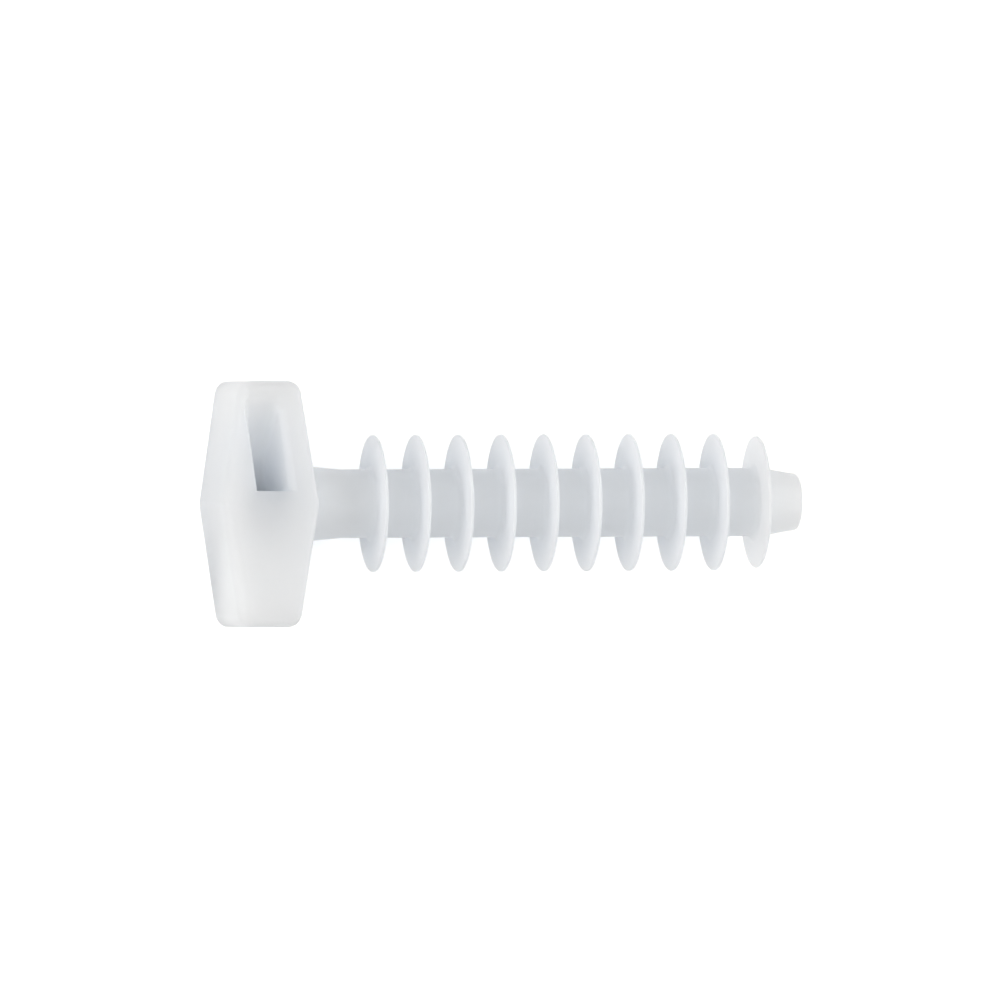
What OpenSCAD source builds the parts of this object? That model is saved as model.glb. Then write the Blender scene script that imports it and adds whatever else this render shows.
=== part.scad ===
// Push-in cable tie mount, moulded in one piece: a finned wall plug under a head with a slot for the tie.
// +X runs along the plug to its tip, Y along the head, and +Z from the back of the head to its front.
// The origin is on the plug's axis, at the face of the first fin that looks to the head.
// The mount lies on the flat back of its head, with the fins' rims level with that back.

/* [Fins] */
// Outside diameter of the fins
fin_d = 9.5; // [8.5:0.1:11]
// Outside diameter of the last fin, which leads into the hole
last_fin_d = 9.15; // [7:0.05:9.5]
// Number of fins
fin_count = 10; // [3:1:14]
// Distance from one fin to the next
fin_pitch = 3.02; // [2.4:0.02:4]
// Thickness of a fin at its rim
fin_rim_t = 0.25; // [0.2:0.05:0.5]
// Thickness of a fin at the core
fin_root_t = 0.45; // [0.3:0.05:0.9]
// Fillet between a fin and the core
fin_fillet_r = 0.4; // [0.1:0.05:0.6]

/* [Core] */
// Diameter of the core that carries the fins
core_d = 4.75; // [3.6:0.05:5.5]
// Diameter of the neck at the head's inner ridge
neck_d = 5.2; // [4.2:0.05:6.4]
// Length of the taper from the neck down to the core
neck_taper = 2.4; // [1:0.1:4]
// Distance from the head's inner ridge to the first fin
neck_len = 4.6; // [3:0.05:8]
// Distance from the last fin to the end of the tip
tip_len = 2.8; // [1.5:0.1:6]
// Diameter of the tip's end
tip_d = 3.85; // [2:0.05:4.7]
// Rounding round the tip's end
tip_edge_r = 0.25; // [0.1:0.05:0.8]

/* [Head] */
// Length of the head across the plug
head_len = 17; // [15:0.1:24]
// Depth of the head from front to back
head_depth = 9.5; // [8:0.1:12]
// Thickness of the head from its outer ridge to its inner ridge
head_t = 6.8; // [5.8:0.05:9]
// How far the outer face falls back from its ridge to the head's ends
outer_fall = 1.25; // [0.6:0.05:1.8]
// How far the inner face falls back from its ridge to the head's ends
inner_fall = 1.4; // [0.6:0.05:1.8]
// Rounding of the four corners of the head's outline
head_corner_r = 0.85; // [0.2:0.05:1.5]
// Rounding of the front and back edges of the outer face
outer_edge_r = 1.2; // [0.3:0.05:1.8]
// Rounding of the front and back edges of the inner face
inner_edge_r = 0.4; // [0.1:0.05:1]
// Rounding of the front and back edges of the head's ends
end_edge_r = 0.5; // [0.1:0.05:1.5]

/* [Tie slot] */
// Width of the slot, which takes the thickness of the tie
slot_w = 2.35; // [1.6:0.05:2.8]
// Thickness of the bridge between the slot and the outer ridge
bridge_t = 2.5; // [1.8:0.05:3]
// How far the slot falls back from the middle of the head to its ends
slot_fall = 1.15; // [0.4:0.05:1.3]
// Distance from the middle of the head to the far end of each mouth
mouth_reach = 7.25; // [5.5:0.05:8]
// How far the front and back covers pass the middle of the head
cover_lap = 0.9; // [0.3:0.05:2]
// Thickness of the covers over the slot, front and back
cover_t = 2; // [0.6:0.05:2.4]

/* [Hidden] */
$fn = 96;
// Straight steps in each rounded corner of an outline.
arc_steps = 6;
// Cutting shapes reach this far past what they cut.
past = 1;
inner_x = -neck_len;
outer_x = inner_x - head_t;
slot_outer_x = outer_x + bridge_t;
slot_inner_x = slot_outer_x + slot_w;
// The neck starts inside the wall between the slot and the inner ridge.
neck_root_x = (slot_inner_x + inner_x) / 2;
tip_x = (fin_count - 1) * fin_pitch + fin_rim_t + tip_len;
half_len = head_len / 2;
half_depth = head_depth / 2;
cover_z = half_depth - cover_t;

function unit(v) = v / norm(v);

// Points along the arc of radius r that rounds the corner between its neighbours a and b.
function arc(corner, a, b, r) =
    let (
        u = unit(a - corner),
        w = unit(b - corner),
        half_angle = acos(u * w) / 2,
        centre = corner + unit(u + w) * r / sin(half_angle),
        start = corner + u * r / tan(half_angle) - centre,
        turn = (cross(u, w) < 0 ? 1 : -1) * (180 - 2 * half_angle)
    )
    [
        for (i = [0:arc_steps])
            let (angle = turn * i / arc_steps)
            centre + [start.x * cos(angle) - start.y * sin(angle), start.x * sin(angle) + start.y * cos(angle)]
    ];

// A closed outline with each corner rounded to its own radius, or left sharp at radius 0.
function rounded(points, radii) =
    let (n = len(points))
    [
        for (i = [0:n - 1])
            each radii[i] > 0
                ? arc(points[i], points[(i + n - 1) % n], points[(i + 1) % n], radii[i])
                : [points[i]]
    ];

// One fin's side of the plug's profile: up its near face, over its rim and down its far face.
function fin_points(d, centre) = [
    [core_d / 2, centre - fin_root_t / 2],
    [d / 2, centre - fin_rim_t / 2],
    [d / 2, centre + fin_rim_t / 2],
    [core_d / 2, centre + fin_root_t / 2]
];

// The plug's profile has the radius along x and the distance along the plug along y.
module plug() {
    neck = [
        [0, neck_root_x],
        [neck_d / 2, neck_root_x],
        [neck_d / 2, inner_x],
        [core_d / 2, inner_x + neck_taper]
    ];
    fins = [
        for (i = [0:fin_count - 1])
            each fin_points(i < fin_count - 1 ? fin_d : last_fin_d, fin_rim_t / 2 + i * fin_pitch)
    ];
    fin_radii = [for (i = [0:fin_count - 1]) each [fin_fillet_r, 0, 0, fin_fillet_r]];
    tip = [[tip_d / 2, tip_x], [0, tip_x]];
    rotate([0, 90, 0])
        rotate_extrude()
            polygon(rounded(concat(neck, fins, tip), concat([0, 0, 0, 0], fin_radii, [tip_edge_r, 0])));
}

// The head's outline is a long hexagon, with one ridge towards the wall and one away from it.
module head_outline() {
    outer_end_x = outer_x + outer_fall;
    inner_end_x = inner_x - inner_fall;
    r = head_corner_r;
    polygon(rounded(
        [
            [outer_x, 0], [outer_end_x, half_len], [inner_end_x, half_len],
            [inner_x, 0], [inner_end_x, -half_len], [outer_end_x, -half_len]
        ],
        [0, r, r, 0, r, r]
    ));
}

// A slab behind one leaning half of the outer or inner face, with its front and back edges rounded.
// Inward is the side of the face on which the slab lies along X, and end is the half's side along Y.
module leaning_slab(ridge_x, fall, edge_r, inward, end) {
    reach = inward * 2 * head_t;
    lean = atan(fall / half_len);
    translate([ridge_x, 0, 0])
        rotate([90, 0, -inward * end * lean])
            linear_extrude(height = 2 * head_len, center = true)
                polygon(rounded(
                    [[0, -half_depth], [reach, -half_depth], [reach, half_depth], [0, half_depth]],
                    [edge_r, 0, 0, edge_r]
                ));
}

// A slab along X that rounds the front and back edges of the head's two ends.
module end_slab() {
    r = end_edge_r;
    rotate([90, 0, 90])
        linear_extrude(height = 4 * (head_t + neck_len), center = true)
            polygon(rounded(
                [
                    [-half_len, -half_depth], [half_len, -half_depth],
                    [half_len, half_depth], [-half_len, half_depth]
                ],
                [r, r, r, r]
            ));
}

module head_blank() {
    intersection() {
        linear_extrude(height = head_depth, center = true)
            head_outline();
        end_slab();
        leaning_slab(outer_x, outer_fall, outer_edge_r, 1, 1);
        leaning_slab(outer_x, outer_fall, outer_edge_r, 1, -1);
        leaning_slab(inner_x, inner_fall, inner_edge_r, -1, 1);
        leaning_slab(inner_x, inner_fall, inner_edge_r, -1, -1);
    }
}

// The tie's way through the head. It enters the front above the middle, runs down a slope behind
// the front cover and leaves the back below the middle, so it is the same after half a turn about X.
module tie_slot() {
    slope = (mouth_reach - cover_lap) / (half_depth + cover_z);
    front_half = [
        [cover_lap, half_depth + past],
        [cover_lap, cover_z],
        [-cover_lap, cover_z],
        [-mouth_reach - past * slope, -half_depth - past]
    ];
    end_y = half_len + past;
    end_fall = slot_fall * end_y / half_len;
    intersection() {
        linear_extrude(height = head_depth + 2 * past, center = true)
            polygon([
                [slot_outer_x, 0], [slot_outer_x - end_fall, end_y], [slot_inner_x - end_fall, end_y],
                [slot_inner_x, 0], [slot_inner_x - end_fall, -end_y], [slot_outer_x - end_fall, -end_y]
            ]);
        rotate([90, 0, 90])
            linear_extrude(height = 4 * (head_t + neck_len), center = true)
                polygon(concat(front_half, -front_half));
    }
}

module tie_mount() {
    color([0.93, 0.94, 0.95]) {
        difference() {
            head_blank();
            tie_slot();
        }
        plug();
    }
}

tie_mount();
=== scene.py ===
# %% [markdown]
# # Push-in cable tie mount
#
# The object is one moulding in natural white nylon, about 42 mm long. A plug with ten thin round
# fins is pushed into a drilled hole, and the ridged head stays outside, with a slanted slot through
# it for a cable tie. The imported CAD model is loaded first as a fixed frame. It gives the overall
# size and place, and the detailed moulding built below takes its place in the picture.

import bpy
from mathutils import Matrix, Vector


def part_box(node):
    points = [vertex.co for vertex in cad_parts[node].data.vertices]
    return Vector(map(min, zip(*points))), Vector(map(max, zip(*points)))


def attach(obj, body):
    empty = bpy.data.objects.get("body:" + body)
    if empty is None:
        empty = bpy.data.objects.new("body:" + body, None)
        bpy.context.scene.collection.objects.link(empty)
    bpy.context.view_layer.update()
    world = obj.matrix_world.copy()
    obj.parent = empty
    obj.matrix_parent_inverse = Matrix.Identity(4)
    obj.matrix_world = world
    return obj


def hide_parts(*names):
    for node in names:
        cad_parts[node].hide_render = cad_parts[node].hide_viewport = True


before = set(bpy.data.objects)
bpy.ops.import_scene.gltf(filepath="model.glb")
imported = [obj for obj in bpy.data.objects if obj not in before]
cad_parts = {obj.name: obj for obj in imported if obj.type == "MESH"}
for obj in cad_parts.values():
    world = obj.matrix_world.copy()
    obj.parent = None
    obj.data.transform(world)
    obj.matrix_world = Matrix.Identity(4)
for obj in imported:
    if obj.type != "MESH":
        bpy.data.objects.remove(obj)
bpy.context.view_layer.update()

# %% [markdown]
# The script works in metres, but the moulding is easiest to think of in millimetres, so one value
# turns millimetres into metres. The ends of the CAD model's box give the head's outer ridge, its
# half length and half depth and the end of the tip. What the box can't give is set as a dimension
# of its own where it is needed. The head's inner ridge comes first, because both the head and the
# plug start from it. Two places count as the same when they are less than TINY apart.

# %% Dimensions from the frame
import bmesh
import bpy
import math
from mathutils import Matrix, Vector

MM = 0.001
TINY = 1e-7
box_low, box_high = (Vector(corner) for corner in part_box("tie_mount"))
outer_x, half_len, half_depth, tip_x = box_low.x, box_high.y, box_high.z, box_high.x
INNER_X = -4.6 * MM
print("head", round((INNER_X - outer_x) / MM, 2), "mm thick, tip at", round(tip_x / MM, 2), "mm")

# %% [markdown]
# A few small helpers come up again and again. One turns a finished bmesh into an object. One
# applies an object's modifiers, so that the next step can work on the real mesh. One cuts away or
# adds another object with a Boolean modifier, and then removes that object, because only the
# moulding belongs in the scene. Its exact solver copes with faces that only just meet.

# %% Object helpers
def new_object(name, bm):
    mesh = bpy.data.meshes.new(name)
    bm.to_mesh(mesh)
    bm.free()
    obj = bpy.data.objects.new(name, mesh)
    bpy.context.scene.collection.objects.link(obj)
    return obj


def apply_modifiers(obj):
    depsgraph = bpy.context.evaluated_depsgraph_get()
    finished = bpy.data.meshes.new_from_object(obj.evaluated_get(depsgraph))
    obj.modifiers.clear()
    obj.data = finished


def combine(obj, tool, operation):
    boolean = obj.modifiers.new(tool.name, "BOOLEAN")
    boolean.operation = operation
    boolean.solver = "EXACT"
    boolean.object = tool
    apply_modifiers(obj)
    bpy.data.objects.remove(tool)
    print(obj.name, "after", operation.lower(), "has", len(obj.data.polygons), "faces")


# %% [markdown]
# ## The head
#
# The head is a long block with a low ridge down its outer and its inner face. It could be drawn as
# an outline and extruded, but a cube is quicker: it is scaled to the head's ends, cut once across
# the middle, and the new vertices are pulled out to the two ridges. The helper that cuts it is used
# again for the slot.

# %% Head block
OUTER_FALL, INNER_FALL = 1.25 * MM, 1.4 * MM
outer_end_x, inner_end_x = outer_x + OUTER_FALL, INNER_X - INNER_FALL
middle_x = (inner_end_x + outer_end_x) / 2


def cut_across(bm, co, no):
    everything = bm.verts[:] + bm.edges[:] + bm.faces[:]
    bmesh.ops.bisect_plane(bm, geom=everything, plane_co=co, plane_no=no, dist=TINY / 10)


bm = bmesh.new()
bmesh.ops.create_cube(bm, size=1.0)
bmesh.ops.scale(bm, vec=(inner_end_x - outer_end_x, 2 * half_len, 2 * half_depth), verts=bm.verts)
bmesh.ops.translate(bm, vec=(middle_x, 0, 0), verts=bm.verts)
cut_across(bm, (0, 0, 0), (0, 1, 0))
for vert in bm.verts:
    if abs(vert.co.y) < TINY:
        vert.co.x = outer_x if vert.co.x < middle_x else INNER_X
print("head block:", len(bm.verts), "corners")

# %% [markdown]
# Every edge of a moulding is rounded, but not by the same radius: the outer face rolls over softly
# into the front and back, and the inner face, which meets the wall, stays crisper. A Bevel modifier
# reads a weight from each edge, so all the radii are made in one go and meet cleanly at the
# corners.

# %% Head edge radii
OUTER_EDGE_R, INNER_EDGE_R, END_EDGE_R = 1.2 * MM, 0.4 * MM, 0.5 * MM
CORNER_R, RIDGE_R = 0.85 * MM, 0.25 * MM
EDGE_SEGMENTS = 8


def edge_radius(edge):
    a, b = (vert.co for vert in edge.verts)
    middle = (a + b) / 2
    along_z = abs(a.z - b.z) > half_depth
    if along_z:
        return RIDGE_R if abs(middle.y) < TINY else CORNER_R
    if abs(abs(middle.y) - half_len) < TINY:
        return END_EDGE_R
    if abs(middle.y) < TINY:
        return 0.0
    return OUTER_EDGE_R if middle.x < middle_x else INNER_EDGE_R


weight = bm.edges.layers.float.new("bevel_weight_edge")
for edge in bm.edges:
    edge[weight] = edge_radius(edge) / OUTER_EDGE_R
head = new_object("tie_mount_body", bm)
bevel = head.modifiers.new("edges", "BEVEL")
bevel.limit_method = "WEIGHT"
bevel.width = OUTER_EDGE_R
bevel.segments = EDGE_SEGMENTS
apply_modifiers(head)
print("rounded head:", len(head.data.polygons), "faces")

# %% [markdown]
# ## The tie slot
#
# The slot goes in at the front above the middle, slopes through the depth behind a cover and comes
# out at the back below the middle. Its cutting tool is a flat outline seen along X, so the outline
# is drawn first as one face. Its second half is the first after half a turn. The slope runs out
# into the head's face without an edge, so that corner is rounded widely. The outline reaches a
# millimetre past the head, so that the tool cuts right through.

# %% Slot outline
BRIDGE_T = 2.5 * MM
MOUTH_REACH, COVER_LAP, COVER_T = 7.25 * MM, 0.9 * MM, 2.0 * MM
RUN_OUT_R, RUN_OUT_DROP = 0.6 * MM, 0.1 * MM
PAST = 1.0 * MM
slot_outer_x = outer_x + BRIDGE_T
cover_z = half_depth - COVER_T
front_half = [
    (COVER_LAP, half_depth + PAST),
    (COVER_LAP, cover_z),
    (-COVER_LAP, cover_z),
    (-MOUTH_REACH, -half_depth),
    (-half_len - PAST, -half_depth - RUN_OUT_DROP),
    (-half_len - PAST, -half_depth - PAST),
]
RUN_OUT_CORNER = 3
outline = front_half + [(-y, -z) for y, z in front_half]


def round_corners(bm, verts, offset, segments):
    bmesh.ops.bevel(
        bm, geom=verts, offset=offset, offset_type="OFFSET", affect="VERTICES",
        segments=segments, profile=0.5, material=-1, clamp_overlap=True,
    )


bm = bmesh.new()
corners = [bm.verts.new((slot_outer_x, y, z)) for y, z in outline]
bm.faces.new(corners)
run_outs = [corners[RUN_OUT_CORNER], corners[RUN_OUT_CORNER + len(front_half)]]
round_corners(bm, run_outs, RUN_OUT_R, segments=6)
lean = math.atan2(MOUTH_REACH - COVER_LAP, half_depth + cover_z)
print("slot outline:", len(bm.verts), "points, leaning", round(math.degrees(lean), 1), "degrees")

# %% [markdown]
# The outline is extruded by the slot's width. Where the sloping floor and roof meet the side walls,
# the steel core of a mould is never sharp, so those long edges of the tool are rounded with the
# bevel operator. They are the edges that lean in the YZ plane.

# %% Slot core
SLOT_W = 2.35 * MM
FILLET_R = 0.5 * MM
wall = bmesh.ops.extrude_face_region(bm, geom=bm.faces[:])
wall_verts = [item for item in wall["geom"] if isinstance(item, bmesh.types.BMVert)]
bmesh.ops.translate(bm, vec=(SLOT_W, 0, 0), verts=wall_verts)
bmesh.ops.recalc_face_normals(bm, faces=bm.faces)


def leans(edge):
    span = edge.verts[1].co - edge.verts[0].co
    return min(abs(span.y), abs(span.z)) > 0.01 * MM


bmesh.ops.bevel(
    bm, geom=[edge for edge in bm.edges if leans(edge)], offset=FILLET_R, offset_type="OFFSET",
    affect="EDGES", segments=5, profile=0.5, material=-1,
)
print("slot core:", len(bm.faces), "faces")

# %% [markdown]
# The lips of the mouth are rounded by the tool itself: it is cut into thin layers just under the
# head's face, and its walls are pushed apart there along a quarter circle. This helper says how
# far. A quarter circle ends flat in the face, where a tool can't follow it, so past 75 degrees one
# straight step goes on to the face and a hair beyond it.

# %% Lip rounding
STEEPEST = math.radians(75)
LAST_STEP = (STEEPEST + math.pi / 2) / 2
HAIR = 0.02 * MM


def lip(z, radius):
    """How far a wall has moved back at height z."""
    depth = max(half_depth - abs(z), -HAIR)
    if depth >= radius:
        return 0.0
    angle = min(math.asin(min((radius - depth) / radius, 1.0)), STEEPEST)
    beyond = max(radius * (1 - math.sin(STEEPEST)) - depth, 0.0)
    return radius * (1 - math.cos(angle)) + beyond * math.tan(LAST_STEP)


print("a 0.5 mm lip moves its wall by", round(lip(half_depth, 0.5 * MM) / MM, 2), "mm at the face")

# %% [markdown]
# The lip by the neck is the rounder one. The other lip is crisp by the cover and grows softer where
# the slot runs out, so the tool is cut across that stretch too.

# %% Cut the tool into layers
OUTER_LIP_R, INNER_LIP_R, COVER_LIP_R = 0.18 * MM, 0.6 * MM, 0.1 * MM
RUN_OUT_LIP_R, RUN_OUT_START = 0.7 * MM, 5.2 * MM
LAYER_ANGLES = range(0, 90, 15)
RUN_OUT_CUTS = 5


def outer_lip_radius(y):
    """The outer lip grows rounder from where the run-out starts to the end of the mouth."""
    share = (abs(y) - RUN_OUT_START) / (MOUTH_REACH - RUN_OUT_START)
    return OUTER_LIP_R + (RUN_OUT_LIP_R - OUTER_LIP_R) * min(max(share, 0.0), 1.0)


layers = [-HAIR]
for radius in (INNER_LIP_R, RUN_OUT_LIP_R):
    layers += [radius * (1 - math.sin(math.radians(angle))) for angle in LAYER_ANGLES]
for depth in layers:
    cut_across(bm, (0, 0, half_depth - depth), (0, 0, 1))
    cut_across(bm, (0, 0, depth - half_depth), (0, 0, 1))
for step in range(RUN_OUT_CUTS):
    y = RUN_OUT_START + (MOUTH_REACH - RUN_OUT_START) * step / RUN_OUT_CUTS
    cut_across(bm, (0, y, 0), (0, 1, 0))
    cut_across(bm, (0, -y, 0), (0, 1, 0))
cut_across(bm, (0, 0, 0), (0, 0, 1))
print("slot tool in layers:", len(bm.faces), "faces")

# %% [markdown]
# Now the walls are moved. A steel core has to leave the moulding again, so the wall by the neck
# also leans by a few degrees of draft, from each face to the middle. Last, the tool is folded at
# the middle, so that the slot follows the ridge of the head, and it is cut away from the head.

# %% Shape the walls and cut the slot
DRAFT = math.radians(5.5)
SLOT_FALL = 1.15 * MM
for vert in bm.verts:
    x, y, z = vert.co
    if x > slot_outer_x + SLOT_W / 2:
        vert.co.x += lip(z, INNER_LIP_R) - math.tan(DRAFT) * max(half_depth - abs(z), 0.0)
    else:
        vert.co.x -= lip(z, outer_lip_radius(y))
    if abs(z) > cover_z and abs(abs(y) - COVER_LAP) < TINY / 10:
        vert.co.y -= math.copysign(lip(z, COVER_LIP_R), z)
cut_across(bm, (0, 0, 0), (0, 1, 0))
for vert in bm.verts:
    vert.co.x -= SLOT_FALL * abs(vert.co.y) / half_len
bmesh.ops.recalc_face_normals(bm, faces=bm.faces)
print("slot tool:", sum(not edge.is_manifold for edge in bm.edges), "open edges")
combine(head, new_object("slot_tool", bm), "DIFFERENCE")

# %% [markdown]
# ## The plug
#
# The plug is round, so half of its section is drawn once and spun about X. The section starts as
# one flat face with sharp corners. Its corners are bevelled as vertices, which rounds the rims of
# the fins and fills their roots.

# %% Plug section
FIN_COUNT, FIN_PITCH = 10, 3.02 * MM
FIN_R, LAST_FIN_R, FIN_RIM_T, FIN_ROOT_T = 4.75 * MM, 4.575 * MM, 0.25 * MM, 0.45 * MM
NECK_R, NECK_TAPER, CORE_R, TIP_R = 2.6 * MM, 2.4 * MM, 2.375 * MM, 1.925 * MM
ROOT_FILLET_R, RIM_EDGE_R, TIP_EDGE_R = 0.4 * MM, 0.11 * MM, 0.25 * MM
neck_root_x = (slot_outer_x + SLOT_W + INNER_X) / 2
section = [(neck_root_x, 0), (neck_root_x, NECK_R), (INNER_X, NECK_R), (INNER_X + NECK_TAPER, CORE_R)]
roots, rims = [], []
for i in range(FIN_COUNT):
    centre = FIN_RIM_T / 2 + i * FIN_PITCH
    radius = FIN_R if i < FIN_COUNT - 1 else LAST_FIN_R
    roots += [len(section), len(section) + 3]
    rims += [len(section) + 1, len(section) + 2]
    section += [
        (centre - FIN_ROOT_T / 2, CORE_R), (centre - FIN_RIM_T / 2, radius),
        (centre + FIN_RIM_T / 2, radius), (centre + FIN_ROOT_T / 2, CORE_R),
    ]
tip = [len(section)]
section += [(tip_x, TIP_R), (tip_x, 0)]

bm = bmesh.new()
corners = [bm.verts.new((x, 0, r)) for x, r in section]
bm.faces.new(corners)
for places, radius, segments in ((roots, ROOT_FILLET_R, 5), (rims, RIM_EDGE_R, 3), (tip, TIP_EDGE_R, 4)):
    round_corners(bm, [corners[i] for i in places], radius, segments)
print("plug section:", len(bm.verts), "points")

# %% [markdown]
# A spin makes a round form from its section, like a lathe. The face and the stretch on the axis go
# first, so that only the outer line is spun, and use_merge closes the full turn without a seam.

# %% Spin the plug
TURN_STEPS = 96
on_axis = [edge for edge in bm.edges if all(abs(vert.co.z) < TINY / 10 for vert in edge.verts)]
bmesh.ops.delete(bm, geom=bm.faces[:], context="FACES_ONLY")
bmesh.ops.delete(bm, geom=on_axis, context="EDGES")
bmesh.ops.spin(
    bm, geom=bm.verts[:] + bm.edges[:], cent=(0, 0, 0), axis=(1, 0, 0),
    angle=math.tau, steps=TURN_STEPS, use_merge=True,
)
bmesh.ops.remove_doubles(bm, verts=bm.verts, dist=0.001 * MM)
bmesh.ops.recalc_face_normals(bm, faces=bm.faces)
plug = new_object("plug_tool", bm)
print("plug:", len(plug.data.polygons), "faces")

# %% [markdown]
# The neck starts inside the head, so a union makes one closed skin of the two, as in the mould.
# Smooth shading with sharp edges from 35 degrees keeps the roundings soft and the ridges readable,
# and the Weighted Normal modifier keeps the large flat faces flat next to their rounded edges.

# %% Join the plug and the head
SHARP_FROM = math.radians(35)
combine(head, plug, "UNION")
for polygon in head.data.polygons:
    polygon.use_smooth = True
head.data.set_sharp_from_angle(angle=SHARP_FROM)
weighted = head.modifiers.new("flat faces", "WEIGHTED_NORMAL")
weighted.keep_sharp = True

# %% [markdown]
# ## Natural nylon
#
# Nodes are added in the same way throughout: by their kind, with the values of their sockets. This
# helper keeps that to one line a node. An underscore stands for the space in a socket's name.

# %% Node helper
def add_node(tree, kind, **values):
    node = tree.nodes.new("ShaderNode" + kind)
    for socket, value in values.items():
        node.inputs[socket.replace("_", " ")].default_value = value
    return node


# %% [markdown]
# Uncoloured nylon is milky: light enters, scatters and comes out again a little way off, so thin
# fins glow and no shadow on it is hard. The Principled shader's subsurface does this. The scale is
# how far light travels; the whole plug is only a few millimetres thick, so it is given in
# millimetres too. A white part like this one passes light on many times between its fins, so Cycles
# is allowed more diffuse bounces than usual.

# %% Nylon body
SCATTER_SCALE = 9.0 * MM
nylon = bpy.data.materials.new("natural_nylon")
nylon.use_nodes = True
tree = nylon.node_tree
shader = tree.nodes["Principled BSDF"]
shader.inputs["IOR"].default_value = 1.53
shader.inputs["Subsurface Weight"].default_value = 1.0
shader.inputs["Subsurface Radius"].default_value = (1.0, 1.0, 1.0)
shader.inputs["Subsurface Scale"].default_value = SCATTER_SCALE
bpy.context.scene.cycles.diffuse_bounces = 12
print("nylon scatters light over", round(SCATTER_SCALE / MM, 1), "mm")

# %% [markdown]
# No moulding is one even colour. The melt cools unevenly and leaves faint milky clouds some
# millimetres wide, here a noise that mixes two near whites, both a touch blue. The same clouds are
# a little shinier or duller.

# %% Nylon clouds
DIM_WHITE, BRIGHT_WHITE = (0.885, 0.925, 0.975, 1), (0.915, 0.95, 0.99, 1)
coords = add_node(tree, "TexCoord")
clouds = add_node(tree, "TexNoise", Scale=260.0, Detail=3.0)
tree.links.new(coords.outputs["Object"], clouds.inputs["Vector"])
tint = add_node(tree, "Mix")
tint.data_type = "RGBA"
tint.inputs["A"].default_value = DIM_WHITE
tint.inputs["B"].default_value = BRIGHT_WHITE
polish = add_node(tree, "MapRange", From_Min=0.3, From_Max=0.7, To_Min=0.38, To_Max=0.52)
tree.links.new(clouds.outputs["Fac"], tint.inputs["Factor"])
tree.links.new(clouds.outputs["Fac"], polish.inputs["Value"])
tree.links.new(tint.outputs["Result"], shader.inputs["Base Color"])
tree.links.new(polish.outputs["Result"], shader.inputs["Roughness"])
print("nylon nodes with its clouds:", len(tree.nodes))

# %% [markdown]
# The steel of the mould is eroded to a fine satin, and the nylon copies it. That texture is far too
# fine to model, a tenth of a millimetre across and some thousandths deep, so it is a bump. A
# second, wider noise adds the slight sink and waviness that a thick white moulding has.

# %% Nylon surface
satin = add_node(tree, "TexNoise", Scale=9000.0, Detail=2.0)
satin_bump = add_node(tree, "Bump", Strength=0.35, Distance=0.012 * MM)
waves = add_node(tree, "TexNoise", Scale=500.0, Detail=1.0)
wave_bump = add_node(tree, "Bump", Strength=0.5, Distance=0.06 * MM)
for noise, bump in ((satin, satin_bump), (waves, wave_bump)):
    tree.links.new(coords.outputs["Object"], noise.inputs["Vector"])
    tree.links.new(noise.outputs["Fac"], bump.inputs["Height"])
tree.links.new(wave_bump.outputs["Normal"], satin_bump.inputs["Normal"])
tree.links.new(satin_bump.outputs["Normal"], shader.inputs["Normal"])
print("nylon nodes with its surface:", len(tree.nodes))

# %% [markdown]
# The moulding is one piece on one body, so it rides on the frame's root. It stands for the CAD
# node, which stays in the simulation but is hidden here.

# %% Place the moulding
head.data.materials.clear()
head.data.materials.append(nylon)
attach(head, "root")
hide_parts("tie_mount")
print("placed:", head.name, "rides on root and replaces tie_mount")

# %% [markdown]
# ## The studio
#
# The floor is one large plain sheet at the height on which the mount lies.

# %% Floor
FLOOR_HALF = 3.0
bm = bmesh.new()
bmesh.ops.create_grid(bm, x_segments=1, y_segments=1, size=FLOOR_HALF)
bmesh.ops.translate(bm, vec=(0, 0, box_low.z), verts=bm.verts)
floor = new_object("floor", bm)
print("floor at", round(box_low.z / MM, 2), "mm")

# %% [markdown]
# The background should look white without more light falling on the object. The Light Path node
# tells which ray is asking. This helper gives 1 for the rays that see the background, from the
# camera, in a reflection or through a clear part, and 0 for the rays that carry light to the
# object.

# %% Rays that see
def seen_rays(tree):
    path = add_node(tree, "LightPath")
    seen = path.outputs["Is Camera Ray"]
    for other in ("Is Glossy Ray", "Is Transmission Ray"):
        either = add_node(tree, "Math")
        either.operation = "MAXIMUM"
        tree.links.new(seen, either.inputs[0])
        tree.links.new(path.outputs[other], either.inputs[1])
        seen = either.outputs[0]
    return seen


# %% [markdown]
# White paper is a plain matt sheet. A diffuse shader catches the mount's soft shadow, and a faint
# glow, which only those rays see, lifts the paper to white.

# %% White paper
PAPER_GLOW = 0.48
paper = bpy.data.materials.new("white_paper")
paper.use_nodes = True
tree = paper.node_tree
tree.nodes.clear()
diffuse = add_node(tree, "BsdfDiffuse", Color=(0.93, 0.93, 0.93, 1))
glow = add_node(tree, "Emission")
strength = add_node(tree, "Math")
strength.operation = "MULTIPLY"
strength.inputs[1].default_value = PAPER_GLOW
both = add_node(tree, "AddShader")
output = add_node(tree, "OutputMaterial")
tree.links.new(seen_rays(tree), strength.inputs[0])
tree.links.new(strength.outputs[0], glow.inputs["Strength"])
tree.links.new(diffuse.outputs[0], both.inputs[0])
tree.links.new(glow.outputs[0], both.inputs[1])
tree.links.new(both.outputs[0], output.inputs["Surface"])
floor.data.materials.append(paper)
print("paper nodes:", len(tree.nodes))

# %% [markdown]
# The room round the mount is a soft even light, a little stronger overhead than at the horizon, as
# under a white ceiling. The same rays as above see plain white instead.

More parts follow.
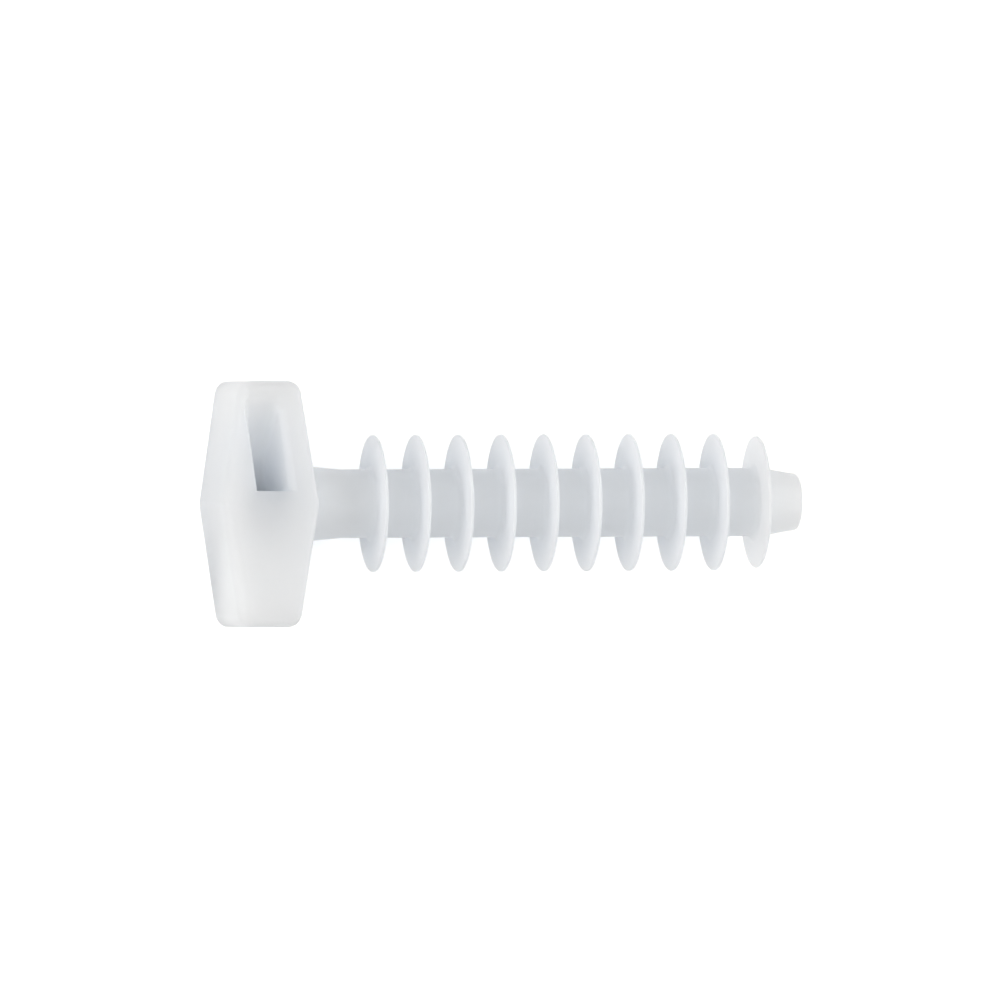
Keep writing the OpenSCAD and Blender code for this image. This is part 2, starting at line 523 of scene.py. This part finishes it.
# %% World
HORIZON, ZENITH = 0.26, 0.35
world = bpy.data.worlds.new("studio")
world.use_nodes = True
bpy.context.scene.world = world
tree = world.node_tree
tree.nodes.clear()
direction = add_node(tree, "TexCoord")
split = add_node(tree, "SeparateXYZ")
height = add_node(tree, "MapRange", To_Min=HORIZON, To_Max=ZENITH)
soft = add_node(tree, "Background", Color=(1, 1, 1, 1))
white = add_node(tree, "Background", Color=(1, 1, 1, 1), Strength=1.0)
mix = add_node(tree, "MixShader")
output = add_node(tree, "OutputWorld")
tree.links.new(direction.outputs["Generated"], split.inputs[0])
tree.links.new(split.outputs["Z"], height.inputs["Value"])
tree.links.new(height.outputs["Result"], soft.inputs["Strength"])
tree.links.new(seen_rays(tree), mix.inputs["Fac"])
tree.links.new(soft.outputs[0], mix.inputs[1])
tree.links.new(white.outputs[0], mix.inputs[2])
tree.links.new(mix.outputs[0], output.inputs["Surface"])
print("world strength from", HORIZON, "to", ZENITH)

# %% [markdown]
# Three softboxes shape the form. The left one rakes over the outer face of the head, the right one
# lights the sides of the fins that look to the tip, and a weak one from the camera's side reaches
# down into the slot. The first two are wide, so that their reflections in the satin faces stay soft
# and never burn out to white. Each stands on a sphere round the middle of the mount and looks at
# it.

# %% Softboxes
AIM = Vector((10 * MM, 0, 0))


def softbox(name, azimuth, elevation, distance, width, height, watts):
    data = bpy.data.lights.new(name, "AREA")
    data.shape = "RECTANGLE"
    data.size, data.size_y, data.energy = width, height, watts
    lamp = bpy.data.objects.new(name, data)
    turn, rise = math.radians(azimuth), math.radians(elevation)
    place = Vector((math.cos(rise) * math.cos(turn), math.cos(rise) * math.sin(turn), math.sin(rise)))
    lamp.location = AIM + place * distance
    lamp.rotation_euler = place.to_track_quat("Z", "Y").to_euler()
    bpy.context.scene.collection.objects.link(lamp)
    print(name, "at", azimuth, "and", elevation, "degrees,", watts, "W")


softbox("softbox_left", 180, 21, distance=0.6, width=1.1, height=0.36, watts=2.15)
softbox("softbox_right", 6, 38, distance=0.6, width=0.9, height=0.36, watts=1.95)
softbox("softbox_front", 180, 77.7, distance=2.2, width=0.45, height=0.45, watts=6.2)

# %% [markdown]
# The camera looks down on the mount, turned a little towards the head's side, so that the outer
# rounding and the sides of the fins show. A very long lens, far away, keeps the lines almost
# parallel. The three axes of the view are written as vectors and make the camera's matrix.

# %% Camera
YAW, ROLL = math.radians(12.3), math.radians(0.25)
FRAME_W = 69.2 * MM
AIM_RIGHT, AIM_UP = 8.91 * MM, 0.21 * MM
right = Vector((math.cos(YAW), 0, math.sin(YAW)))
up = Vector((0, 1, 0))
towards = right.cross(up)
right_rolled = right * math.cos(ROLL) - up * math.sin(ROLL)
up_rolled = right * math.sin(ROLL) + up * math.cos(ROLL)
turn = Matrix((right_rolled, up_rolled, towards)).transposed().to_4x4()

camera_data = bpy.data.cameras.new("camera")
camera_data.lens = 1000
camera_data.sensor_width = 36
camera_data.clip_start, camera_data.clip_end = 0.01, 20
distance = FRAME_W * camera_data.lens / camera_data.sensor_width
camera = bpy.data.objects.new("camera", camera_data)
place = right * AIM_RIGHT + up * AIM_UP + towards * distance
camera.matrix_world = Matrix.Translation(place) @ turn
bpy.context.scene.collection.objects.link(camera)
bpy.context.scene.camera = camera
bpy.context.scene.view_settings.view_transform = "Standard"
print("camera", round(distance, 2), "m away")
